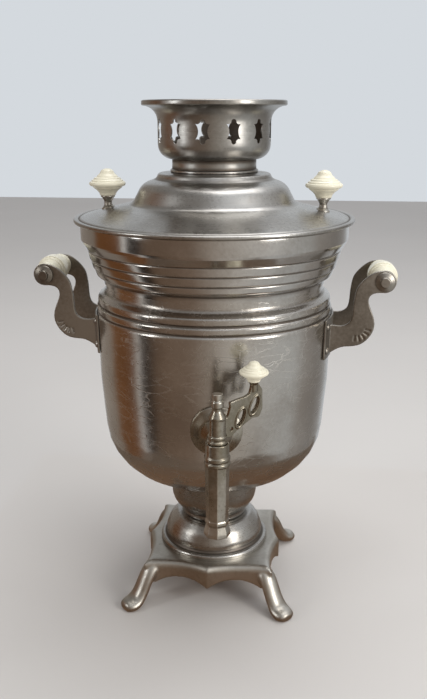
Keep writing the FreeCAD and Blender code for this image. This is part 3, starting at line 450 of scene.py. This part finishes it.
def rounded(corners):
    """Straight runs joined by tangent arcs through corners of (distance, level, radius). The tangent length
    is radius / tan(half the angle), and the arc's points turn evenly about a centre on the bisector."""
    points = [np.array(c[:2], float) for c in corners]
    runs = [points[0][None]]
    for before, here, after, corner in zip(points, points[1:], points[2:], corners[1:]):
        radius = corner[2] if len(corner) > 2 else 0.0
        back = (before - here) / np.linalg.norm(before - here)
        ahead = (after - here) / np.linalg.norm(after - here)
        half = math.acos(float(np.clip(back @ ahead, -1, 1))) / 2
        if radius <= 0 or half > flat_corner:
            runs.append(here[None])
            continue
        room = arc_room * min(np.linalg.norm(runs[-1][-1] - here), np.linalg.norm(after - here))
        reach = min(radius / math.tan(half), room)
        radius = reach * math.tan(half)
        bisector = (back + ahead) / np.linalg.norm(back + ahead)
        centre = here + bisector * radius / math.sin(half)
        first = here + back * reach - centre
        last = here + ahead * reach - centre
        sweep = math.pi - 2 * half
        t = np.linspace(0, 1, arc_steps)[:, None]
        runs.append(centre + (first * np.sin((1 - t) * sweep) + last * np.sin(t * sweep)) / math.sin(sweep))
    runs.append(points[-1][None])
    line = np.concatenate(runs)
    return line[np.r_[True, np.linalg.norm(np.diff(line, axis=0), axis=1) > least_step]]

def refined(line):
    """The same line with no step longer than a few millimetres, so that a soft wave can be laid over it."""
    lengths = np.linalg.norm(np.diff(line, axis=0), axis=1)
    along = np.r_[0.0, np.cumsum(lengths)]
    counts = np.maximum(1, np.ceil(lengths / long_step)).astype(int)
    runs = [np.linspace(a, b, n, endpoint=False) for a, b, n in zip(along, along[1:], counts)]
    stations = np.concatenate(runs + [along[-1:]])
    return np.stack([np.interp(stations, along, line[:, 0]), np.interp(stations, along, line[:, 1])], axis=1)

# %% Sheet and its creases
sheet_wall = 0.8
crease_spread = 0.7

def sheet_outline(corners):
    """Thin sheet as a closed outline: the line itself, and the line moved by the wall along its left
    normals."""
    outer = refined(rounded(corners))
    along = np.gradient(outer, axis=0)
    along /= np.linalg.norm(along, axis=1)[:, None]
    inner = outer + sheet_wall * np.stack([-along[:, 1], along[:, 0]], axis=1)
    inner[:, 0] = np.maximum(inner[:, 0], 0.0)
    return np.concatenate([outer, inner[::-1], outer[:1]])

def creases(outline):
    """How deep in a crease each point lies, 0 to 1: the inward turns of the outline, each spread along its
    length by a bell curve, add up to 1 at a turn of about one radian."""
    step = np.diff(outline, axis=0)
    length = np.linalg.norm(step, axis=1)
    heading = np.unwrap(np.arctan2(step[:, 1], step[:, 0]))
    turn = np.r_[0.0, -np.diff(heading), 0.0]
    along = np.r_[0.0, np.cumsum(length)]
    near = np.exp(-((along[:, None] - along[None]) / crease_spread) ** 2 / 2)
    return np.clip(near @ turn, 0, 1)

# %% Meshes and pieces
crisp_fold = math.radians(35)
merge_reach = 1e-6
empty_reach = 1e-7

def finish_mesh(mesh):
    """Merge doubles, drop empty faces, point the faces outwards and keep only sharp folds as edges."""
    work = bmesh.new()
    work.from_mesh(mesh)
    bmesh.ops.remove_doubles(work, verts=work.verts, dist=merge_reach)
    bmesh.ops.dissolve_degenerate(work, edges=work.edges, dist=empty_reach)
    loose = [e for e in work.edges if not e.link_faces]
    bmesh.ops.delete(work, geom=loose, context="EDGES")
    bmesh.ops.recalc_face_normals(work, faces=work.faces)
    work.to_mesh(mesh)
    work.free()
    mesh.shade_smooth()
    mesh.set_sharp_from_angle(angle=crisp_fold)

def frame_of(way):
    """Three axes as columns, the third along a direction."""
    third = np.array(way, float) / np.linalg.norm(way)
    first = np.cross([0.0, 0.0, 1.0], third) if abs(third[2]) < 0.99 else np.array([1.0, 0.0, 0.0])
    first /= np.linalg.norm(first)
    return np.stack([first, np.cross(third, first), third], axis=1)

def turned_mesh(name, outline, around, base=(0.0, 0.0, 0.0), way=(0.0, 0.0, 1.0), wave=None, inside_shade=0.0):
    """Carry a closed outline of (radius, level) in millimetres round an axis: x = r cos a, y = r sin a, z =
    level, then laid along a direction from a base point. A wave may push the radius in or out by angle and
    level. The second half of a sheet's outline is its inside, whose crease value is raised to a given
    strength, so that the metal finishes paint shade there."""
    angle = np.linspace(0, 2 * np.pi, around, endpoint=False)[None]
    r, level = outline[:, :1], outline[:, 1:]
    radius = r + (wave(angle, level) * (r > 1.0) if wave else 0.0 * angle)
    grid = np.stack([radius * np.cos(angle), radius * np.sin(angle), level + 0.0 * angle], axis=2)
    points = (grid.reshape(-1, 3) @ frame_of(way).T + np.array(base)) * mm
    rows, cols = np.meshgrid(np.arange(len(outline) - 1), np.arange(around), indexing="ij")
    after = (cols + 1) % around
    quads = np.stack([rows * around + cols, rows * around + after, (rows + 1) * around + after,
                      (rows + 1) * around + cols], axis=2).reshape(-1, 4)
    mesh = bpy.data.meshes.new(name)
    mesh.from_pydata(points.tolist(), [], quads.tolist())
    depth = mesh.attributes.new("crease", "FLOAT", "POINT")
    # Painted shade: the inside of a sheet gets a crease value, which the metal finishes turn dark.
    inside = inside_shade * (np.arange(len(outline)) > len(outline) // 2)
    value = np.maximum(creases(outline), inside)
    depth.data.foreach_set("value", np.repeat(value, around).astype(np.float32))
    finish_mesh(mesh)
    return mesh

def add_piece(name, mesh, body, finish_name, replaced):
    """A finished mesh as a piece that rides on a body and stands for CAD nodes."""
    piece = bpy.data.objects.new(name, mesh)
    scene.collection.objects.link(piece)
    mesh.materials.clear()
    mesh.materials.append(bpy.data.materials[finish_name])
    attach(piece, body)
    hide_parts(*replaced)
    print(name, "faces", len(mesh.polygons))

# %% Skins over solids
crease_blur = 4
crease_gain = 6.0

def evaluated(mesh, modifiers):
    """A mesh as it comes out of some modifiers, each given as (kind, settings)."""
    holder = bpy.data.objects.new("holder", mesh)
    scene.collection.objects.link(holder)
    for kind, settings in modifiers:
        made = holder.modifiers.new(kind, kind)
        for key, value in settings.items():
            setattr(made, key, value)
    graph = bpy.context.evaluated_depsgraph_get()
    result = bpy.data.meshes.new_from_object(holder.evaluated_get(graph))
    bpy.data.objects.remove(holder)
    return result

def surface_creases(mesh):
    """Crease depth of any mesh, 0 to 1: how far each point's neighbours stand in front of its normal, as a
    sine, averaged over its edges and blurred over the surface a few times."""
    count = len(mesh.vertices)
    co = np.empty(3 * count, np.float32)
    mesh.vertices.foreach_get("co", co)
    co = co.reshape(-1, 3)
    normal = np.empty(3 * count, np.float32)
    mesh.vertices.foreach_get("normal", normal)
    normal = normal.reshape(-1, 3)
    ends = np.empty(2 * len(mesh.edges), np.int32)
    mesh.edges.foreach_get("vertices", ends)
    a, b = ends.reshape(-1, 2).T
    way = co[b] - co[a]
    way /= np.maximum(np.linalg.norm(way, axis=1), 1e-9)[:, None]
    links = np.bincount(ends, minlength=count)
    rise = np.bincount(a, (way * normal[a]).sum(1), count) - np.bincount(b, (way * normal[b]).sum(1), count)
    depth = rise / np.maximum(links, 1)
    for _ in range(crease_blur):
        beside = np.bincount(a, depth[b], count) + np.bincount(b, depth[a], count)
        depth = (depth + beside / np.maximum(links, 1)) / 2
    value = mesh.attributes.new("crease", "FLOAT", "POINT")
    value.data.foreach_set("value", np.clip(depth * crease_gain, 0, 1).astype(np.float32))

def soft_skin(node, cell, passes, extra):
    """A fine voxel skin over a CAD solid, and over extra solids joined to it, smoothed as polishing would.
    The cell is the voxel's side in millimetres."""
    work = bmesh.new()
    work.from_mesh(nodes[node].data)
    for mesh in extra:
        work.from_mesh(mesh)
    bmesh.ops.remove_doubles(work, verts=work.verts, dist=merge_reach)
    joined = bpy.data.meshes.new(node + "_solid")
    work.to_mesh(joined)
    work.free()
    skin = evaluated(joined, [("REMESH", {"mode": "VOXEL", "voxel_size": cell * mm, "use_smooth_shade": True}),
                              ("SMOOTH", {"factor": 0.5, "iterations": passes})])
    surface_creases(skin)
    skin.shade_smooth()
    return skin

# %% [markdown]
# ## Levels
# The same heights as the CAD model's, in millimetres above the floor, and the places of the posts and the
# tap.

# %% Levels
plate_top = 36.2
pedestal_top = 60.6
drum_bottom = 66.0
drum_top = 99.2
bowl_level = 99.25
wall_top = 235.25
shoulder_top = 253.75
collar_bottom = 254.95
collar_top = 299.95
lid_seat = 300.0
dome_foot_level = 312.0
dome_step_level = 330.0
lid_top = 335.2
crown_seat = 335.25
rim_top = 385.0
post_ring = 80.5
post_base = 306.24
post_height = 10.6
seat_gap = 0.05
tap_reach = 124.0
tap_swing = 7.0
tap_axis = (tap_reach * math.sin(math.radians(tap_swing)), -tap_reach * math.cos(math.radians(tap_swing)))
print("from the floor to the rim", rim_top, "mm")

# %% [markdown]
# ## Vessel
# Spun brass sheet: a bowl, a wall that widens a little, two beads and a narrow mouth. Old thin sheet is
# never quite round, so two or three slow waves of about a tenth of a millimetre bend the reflections.

# %% Vessel
def old_sheet(angle, level):
    """Millimetres: 0.10 cos(3a + z/45) + 0.07 cos(5a - z/23) + 0.05 sin(2a + z/13) - 0.1, faded out at the
    ends. The last term keeps the wall inside the CAD model's size."""
    inside = np.clip((level - bowl_level - 12) / 30, 0, 1) * np.clip((wall_top - level) / 12, 0, 1)
    return inside * (0.10 * np.cos(3 * angle + level / 45) + 0.07 * np.cos(5 * angle - level / 23)
                     + 0.05 * np.sin(2 * angle + level / 13)) - 0.1 * inside

belly = 89.2
mouth = 82.3
vessel_line = [(0, bowl_level), (34.4, bowl_level, 4.0), (82.3, bowl_level + 1.0, 47.0),
               (belly - 0.5, bowl_level + 81.6, 240.0), (belly + 0.5, wall_top - 4.0, 3.0),
               (belly - 1.0, wall_top - 2.2, 1.0), (belly + 0.1, wall_top - 0.6, 1.6),
               (belly + 0.1, wall_top + 2.6, 1.8), (belly - 1.8, wall_top + 4.2, 0.8),
               (belly - 0.7, wall_top + 5.6, 1.8), (belly - 1.0, wall_top + 9.4, 2.6),
               (82.5, wall_top + 13.2, 4.0), (mouth, shoulder_top, 1.6), (mouth, shoulder_top + 6.0)]
vessel = turned_mesh("vessel_skin", sheet_outline(vessel_line), 288, wave=old_sheet, inside_shade=0.5)
add_piece("vessel_skin", vessel, "samovar", "nickel_body", ["vessel"])

# %% [markdown]
# ## Collar ring
# Three ribs step outwards, then a band stands upright and turns in at the top to carry the lid. The grooves
# between the ribs are narrow, and the finish darkens them with painted shade.

# %% Collar ring
foot = mouth + seat_gap + 1.0
collar_line = [(foot, collar_bottom), (foot, collar_bottom + 3.6, 1.6), (foot + 5.4, collar_bottom + 6.6, 3.0),
               (foot + 6.6, collar_bottom + 10.6, 1.2), (foot + 6.2, collar_bottom + 11.4, 0.4),
               (foot + 8.0, collar_bottom + 12.6, 1.6), (foot + 9.2, collar_bottom + 17.6, 1.2),
               (foot + 8.8, collar_bottom + 18.4, 0.4), (foot + 10.4, collar_bottom + 19.6, 1.6),
               (foot + 11.5, collar_bottom + 24.6, 1.2), (foot + 11.2, collar_bottom + 25.4, 0.4),
               (foot + 12.2, collar_bottom + 26.4, 0.8), (98.8, collar_bottom + 31.4, 2.4),
               (99.7, collar_bottom + 33.4, 1.4), (99.7, collar_top, 1.4), (95.3, collar_top)]
collar = turned_mesh("collar_skin", sheet_outline(collar_line), 288)
add_piece("collar_skin", collar, "samovar", "nickel_mirror", ["collar_ring"])

# %% [markdown]
# ## Lid
# A rolled rim, a groove just inside it, a sloping plate, a stepped dome and the spigot under the crown.

# %% Lid
lid_line = [(96.0, lid_seat), (104.0, lid_seat, 1.2), (104.0, lid_seat + 2.5, 1.25),
            (101.2, lid_seat + 2.9, 0.8), (100.2, lid_seat + 2.1, 0.7), (98.2, lid_seat + 3.1, 1.2),
            (60.6, dome_foot_level + 0.5, 7.0),
            (53.2, dome_foot_level + 14.4, 13.0), (43.8, dome_step_level - 0.2, 0.8),
            (42.4, dome_step_level + 1.2, 0.6), (41.2, lid_top - 1.2, 2.4), (28.6, lid_top),
            (28.6, lid_top + 8.0, 1.6), (0, lid_top + 8.0)]

def pressed_lid(angle, level):
    """0.06 cos(4a + z/9) millimetres, on the sloping plate only."""
    sloping = np.clip((lid_seat + 12 - level) / 6, 0, 1) * (level > lid_seat + 4)
    return 0.06 * np.cos(4 * angle + level / 9) * sloping

lid_mesh = turned_mesh("lid_skin", sheet_outline(lid_line), 288, wave=pressed_lid, inside_shade=0.4)
add_piece("lid_skin", lid_mesh, "lid", "nickel_spun", ["lid"])

# %% [markdown]
# ## Crown
# A spun bowl with a rolled rim, pierced by twelve small figures: each has hollow sides, four ears and a
# round lobe above and below. The figures are cut with one solid of twelve prisms.

# %% Crown
crown_line = [(32.2, crown_seat), (32.2, crown_seat + 1.3, 0.5), (30.9, crown_seat + 1.9, 0.5),
              (30.8, crown_seat + 8.6, 0.5), (41.1, crown_seat + 10.6, 10.5), (41.1, rim_top - 4.2, 11.0),
              (51.6, rim_top - 3.8, 0.6), (52.5, rim_top - 3.2, 0.6), (52.5, rim_top, 1.3), (49.5, rim_top)]
# The crown's inside gets a strong crease value. This is painted shade, and it shows through the figures.
crown_solid = turned_mesh("crown_solid", sheet_outline(crown_line), 288, inside_shade=0.9)
print("crown before piercing, faces", len(crown_solid.polygons))

# %% The pierced figure
cutouts = 12
cut_turn = 25.0
cut_level = crown_seat + 28.7
cut_reach = (26.0, 60.0)

def three_point_arc(a, m, b, count):
    """Points of the circle's arc from a through m to b. The centre is where the perpendicular bisectors of
    the three points meet, and the points turn evenly about it."""
    a, m, b = (np.array(p, float) for p in (a, m, b))
    d = 2 * (a[0] * (m[1] - b[1]) + m[0] * (b[1] - a[1]) + b[0] * (a[1] - m[1]))
    s = np.array([a @ a, m @ m, b @ b])
    rises = [m[1] - b[1], b[1] - a[1], a[1] - m[1]]
    runs = [b[0] - m[0], a[0] - b[0], m[0] - a[0]]
    centre = np.array([s @ rises, s @ runs]) / d
    angles = np.unwrap([math.atan2(*(p - centre)[::-1]) for p in (a, m, b)])
    t = np.linspace(angles[0], angles[2], count)
    return centre + np.linalg.norm(a - centre) * np.stack([np.cos(t), np.sin(t)], axis=1)

def figure_outline():
    """The pierced figure in its plane, anticlockwise: side, ear, lobe, ear, and the same mirrored."""
    side = three_point_arc((5.3, -5.2), (3.3, 0), (5.3, 5.2), 13)[6:]
    ear = three_point_arc((5.3, 5.2), (3.2, 5.0), (1.8, 6.2), 6)
    lobe = three_point_arc((1.8, 6.2), (0, 8.4), (-1.8, 6.2), 11)
    mirror = [-1, 1]
    upper = np.concatenate([side[:-1], ear[:-1], lobe[:-1], ear[::-1][:-1] * mirror, side[::-1][:-1] * mirror])
    return np.concatenate([upper, -upper])

def cutter_mesh(outline):
    """Twelve prisms: the outline at two distances from the axis, turned round it."""
    n = len(outline)
    rings = []
    for reach in cut_reach:
        rings.append(np.stack([outline[:, 0], np.full(n, -reach), outline[:, 1] + cut_level], axis=1))
    one = np.concatenate(rings)
    points, faces = [], []
    for i in range(cutouts):
        turn = math.radians(cut_turn + 360 * i / cutouts)
        spin = np.array([[math.cos(turn), -math.sin(turn), 0], [math.sin(turn), math.cos(turn), 0], [0, 0, 1]])
        points.append(one @ spin.T * mm)
        k = 2 * n * i
        faces += [[k + j, k + (j + 1) % n, k + n + (j + 1) % n, k + n + j] for j in range(n)]
        faces += [list(range(k, k + n))[::-1], list(range(k + n, k + 2 * n))]
    mesh = bpy.data.meshes.new("cutter")
    mesh.from_pydata(np.concatenate(points).tolist(), [], faces)
    finish_mesh(mesh)
    return mesh

# %% Piercing the crown
cutter = bpy.data.objects.new("cutter", cutter_mesh(figure_outline()))
scene.collection.objects.link(cutter)
piercing = {"operation": "DIFFERENCE", "object": cutter, "solver": "EXACT"}
crown_mesh = evaluated(crown_solid, [("BOOLEAN", piercing)])
bpy.data.objects.remove(cutter)
crown_mesh.set_sharp_from_angle(angle=crisp_fold)
add_piece("crown_skin", crown_mesh, "crown", "nickel_dull", ["crown"])

# %% [markdown]
# ## Pedestal and drum
# Two more spun shells. The pedestal's lip and the waist between the two are creases, which the finish darkens
# with painted shade.

# %% Pedestal and drum
base = plate_top + seat_gap
pedestal_line = [(44.1, base), (44.1, base + 3.9, 2.4), (40.4, base + 4.3, 0.5), (39.5, base + 5.6, 0.7),
                 (39.5, base + 10.2, 9.0), (36.3, base + 18.1, 14.0), (30.5, pedestal_top, 5.0),
                 (4.6, pedestal_top)]
pedestal = turned_mesh("pedestal_skin", sheet_outline(pedestal_line), 224)
add_piece("pedestal_skin", pedestal, "samovar", "nickel_spun", ["pedestal"])
base = pedestal_top + seat_gap
drum_line = [(4.6, base), (26.5, base, 1.6), (26.5, drum_bottom, 0.8), (28.2, drum_bottom + 0.4, 0.8),
             (34.4, drum_bottom + 9.0, 16.0), (34.4, drum_top - 5.2, 0.5), (35.5, drum_top - 4.2, 1.0),
             (35.5, drum_top - 0.8, 1.2), (33.4, drum_top), (28.4, drum_top)]
drum = turned_mesh("drum_skin", sheet_outline(drum_line), 224)
add_piece("drum_skin", drum, "samovar", "nickel_spun", ["neck_drum"])

# %% [markdown]
# ## Knobs, posts and grips
# Ivory-coloured plastic turned on a lathe: soft rings stand above and below a rounded rim, with thin
# grooves between them. The grooves are yellow-brown with age. The posts are waisted and end in a small cup.

# %% Knobs
knob_steps = [(0.42, 0.0, 0.03), (0.47, 0.10, 0.08), (0.60, 0.20, 0.12), (0.79, 0.30, 0.08),
              (0.80, 0.33, 0.03), (0.95, 0.37, 0.08), (1.0, 0.44, 0.08), (0.96, 0.51, 0.06),
              (0.86, 0.53, 0.02), (0.85, 0.57, 0.05), (0.73, 0.62, 0.03), (0.715, 0.66, 0.05),
              (0.58, 0.69, 0.03), (0.55, 0.73, 0.05), (0.41, 0.82, 0.10), (0.31, 0.94, 0.16),
              (0.12, 1.0, 0.10)]

def knob_mesh(name, base, radius, height):
    """A turned knob: each corner is a share of the radius and of the height, and its round a share of the
    radius."""
    corners = [(0, 0)] + [(a * radius, b * height, c * radius) for a, b, c in knob_steps] + [(0, height)]
    return turned_mesh(name, rounded(corners), 96, base=base)

lid_knob_radius, lid_knob_height = 13.8, 19.6
tap_knob_radius, tap_knob_height = 9.8, 13.5
tap_knob_level = 209.55
wing_reach = 28.0
wing_room, wing_run = 14.4, 24.0
knob_base = post_base + post_height + seat_gap
for side, word in ((-1, "left"), (1, "right")):
    seat = (side * post_ring, 0, knob_base)
    mesh = knob_mesh("lid_knob_skin_" + word, seat, lid_knob_radius, lid_knob_height)
    add_piece("lid_knob_skin_" + word, mesh, "lid", "ivory_plastic", ["lid_knob_" + word])
knob_way = math.radians(tap_swing + math.degrees(math.atan2(wing_room, wing_run)))
seat = (tap_axis[0] + wing_reach * math.cos(knob_way), tap_axis[1] + wing_reach * math.sin(knob_way),
        tap_knob_level)
mesh = knob_mesh("tap_knob_skin", seat, tap_knob_radius, tap_knob_height)
add_piece("tap_knob_skin", mesh, "tap_key", "ivory_plastic", ["tap_knob"])

# %% [markdown]
# ## Posts
# A post is turned like a knob, but its foot stands on the sloping plate. So its lower half is sheared: each
# point rises with its distance from the plate's low side, and the shear fades out half way up.

# %% Posts
plate_run, plate_lip = 98.0 - 62.4, 3.2
plate_slope = (dome_foot_level - lid_seat - plate_lip) / plate_run
foot_lift = 1.2
post_line = [(0, -1.0), (4.9, -1.0), (4.9, 0.8, 0.5), (3.2, 2.6, 1.6), (2.7, 6.0, 3.0), (4.6, 9.2, 1.0),
             (5.3, 9.5, 0.3), (5.3, post_height, 0.4), (0, post_height)]
for side, word in ((-1, "left"), (1, "right")):
    outline = refined(rounded(post_line))
    mesh = turned_mesh("post_skin_" + word, outline, 64, base=(side * post_ring, 0, post_base))
    co = np.empty(3 * len(mesh.vertices), np.float32)
    mesh.vertices.foreach_get("co", co)
    co = co.reshape(-1, 3)
    low = np.clip(1 - (co[:, 2] / mm - post_base) / (0.5 * post_height), 0, 1)
    co[:, 2] += (plate_slope * (post_ring * mm - side * co[:, 0]) + foot_lift * mm) * low
    mesh.vertices.foreach_set("co", co.ravel())
    add_piece("post_skin_" + word, mesh, "lid", "nickel_cast", ["lid_post_" + word])

# %% [markdown]
# ## Grips
# Each grip is turned about a rod that runs from front to back. Half of its outline is written down, with a
# ring near the middle, and the other half is its mirror image.

# %% Grips
half_grip = 21.0
grip_bore = 2.65
grip_reach, grip_level = 126.2, 259.6
grip_line = [(8.0, -half_grip), (8.6, -0.94 * half_grip, 0.6), (7.7, -0.66 * half_grip, 4.0),
             (8.8, -0.46 * half_grip, 1.2), (8.7, -0.40 * half_grip, 0.4), (9.8, -0.36 * half_grip, 0.5),
             (9.9, -0.26 * half_grip, 0.6), (10.0, -0.235 * half_grip, 0.2), (11.0, -0.21 * half_grip, 0.8)]
grip_line += [(r, -y, *more) for r, y, *more in reversed(grip_line)]
for side, word in ((-1, "left"), (1, "right")):
    line = refined(rounded([(grip_bore, -half_grip)] + grip_line + [(grip_bore, half_grip)]))
    outline = np.concatenate([line, line[:1]])
    mesh = turned_mesh("grip_skin_" + word, outline, 96, base=(side * grip_reach, 0, grip_level), way=(0, 1, 0))
    add_piece("grip_skin_" + word, mesh, "samovar", "ivory_plastic", [word + "_grip"])

# %% [markdown]
# ## Cast and pressed pieces
# The foot, the tap, the key wing, the handles and the round plate behind the tap get a fine skin. The wing
# also gets a raised round lip about each of its two loops, on both faces: the lips are tubes along an oval,
# and the skin grows over them and the plate together, as if they had been cast in one.

# %% Wing lips
loop_long, loop_wide, lip = 6.9, 3.3, 0.9
loop_places = ((17.36, 186.73), (28.0, 193.285))
lip_offset = 1.2
wing_way = np.array([math.cos(knob_way), math.sin(knob_way), 0.0])
wing_side = np.array([-math.sin(knob_way), math.cos(knob_way), 0.0])
lean = math.radians(24.0)

def loop_lip(out, level, offset, around=48, tube=12):
    """A round lip along an ellipse: the centre line is an oval that leans outwards, and the tube's section
    turns between the oval's outward normal and the wing's own normal."""
    u = np.linspace(0, 2 * np.pi, around, endpoint=False)[:, None, None]
    v = np.linspace(0, 2 * np.pi, tube, endpoint=False)[None, :, None]
    major = wing_way * math.sin(lean) + np.array([0, 0, math.cos(lean)])
    minor = wing_way * math.cos(lean) - np.array([0, 0, math.sin(lean)])
    outward = major * np.cos(u) / loop_long + minor * np.sin(u) / loop_wide
    outward = outward / np.linalg.norm(outward, axis=2, keepdims=True)
    line = major * loop_long * np.cos(u) + minor * loop_wide * np.sin(u)
    centre = (np.array([tap_axis[0], tap_axis[1], 0]) + wing_way * out + np.array([0, 0, level])
              + wing_side * offset)
    points = (centre + line + lip * (outward * np.cos(v) + wing_side * np.sin(v))).reshape(-1, 3) * mm
    i, j = np.meshgrid(np.arange(around), np.arange(tube), indexing="ij")
    a, b = (i + 1) % around, (j + 1) % tube
    quads = np.stack([i * tube + j, a * tube + j, a * tube + b, i * tube + b], axis=2).reshape(-1, 4)
    mesh = bpy.data.meshes.new("lip")
    mesh.from_pydata(points.tolist(), [], quads.tolist())
    finish_mesh(mesh)
    return mesh

lips = [loop_lip(out, level, face * lip_offset) for out, level in loop_places for face in (-1, 1)]
print("lips", len(lips))

# %% [markdown]
# ## Skins
# Each row names a solid, the side of its voxels in millimetres, how often it is smoothed, its body, its
# finish, its slot and what is joined to it. Small voxels keep the tap's fine collars, and the soft foot
# needs larger ones.

# %% Soft skins
skins = [("base_casting", 0.85, 5, "samovar", "nickel_cast", "cast_nickel", ()),
         ("tap_barrel", 0.37, 2, "samovar", "nickel_tap", "cast_nickel", ()),
         ("tap_branch", 0.22, 4, "tap_key", "nickel_tap", "cast_nickel", lips),
         ("tap_plug", 0.22, 3, "tap_key", "nickel_tap", "cast_nickel", ()),
         ("tap_rosette", 0.4, 3, "samovar", "nickel_tap", "cast_nickel", ()),
         ("left_handle_frame", 0.45, 3, "samovar", "nickel_dark", "dark_nickel", ()),
         ("right_handle_frame", 0.45, 3, "samovar", "nickel_dark", "dark_nickel", ())]
for node, cell, passes, body, finish_name, slot, extra in skins:
    add_piece(node + "_skin", soft_skin(node, cell, passes, extra), body, finish_name, [node])
